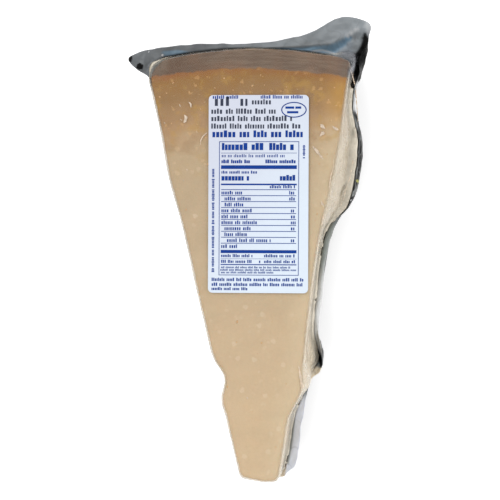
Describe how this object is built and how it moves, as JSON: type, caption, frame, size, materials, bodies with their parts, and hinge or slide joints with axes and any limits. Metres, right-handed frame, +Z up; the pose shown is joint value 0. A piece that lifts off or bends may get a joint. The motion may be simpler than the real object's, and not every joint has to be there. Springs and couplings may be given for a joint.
{
  "type": "parmesan chunk",
  "caption": "Wedge of hard aged cheese with its rind, vacuum packed under clear film with a dark film back, a folded seal margin and a blank-style printed label.",
  "frame": {"origin": "middle of the pack's base, on the surface it lies on", "axes": "+Z up through the labelled face, +Y towards the rind, +X to the right seen from above with the rind away from the viewer"},
  "size_m": [0.1052, 0.1934, 0.0507],
  "materials": {
    "cheese": "pale golden hard cheese, deeper gold near the rind, with a grey-brown rind",
    "clear_film": "thin clear film drawn tight, with wrinkle highlights",
    "dark_film": "black outside, silver grey inside where the margin shows through the clear film",
    "label_paper": "smooth white label paper with a cool tint",
    "label_ink": "flat blue and dark grey printed bars"
  },
  "bodies": {
    "root": {"cheese_in_clear_film": "cheese", "dark_film": "dark_film", "label": "label_paper"}
  },
  "joints": []
}
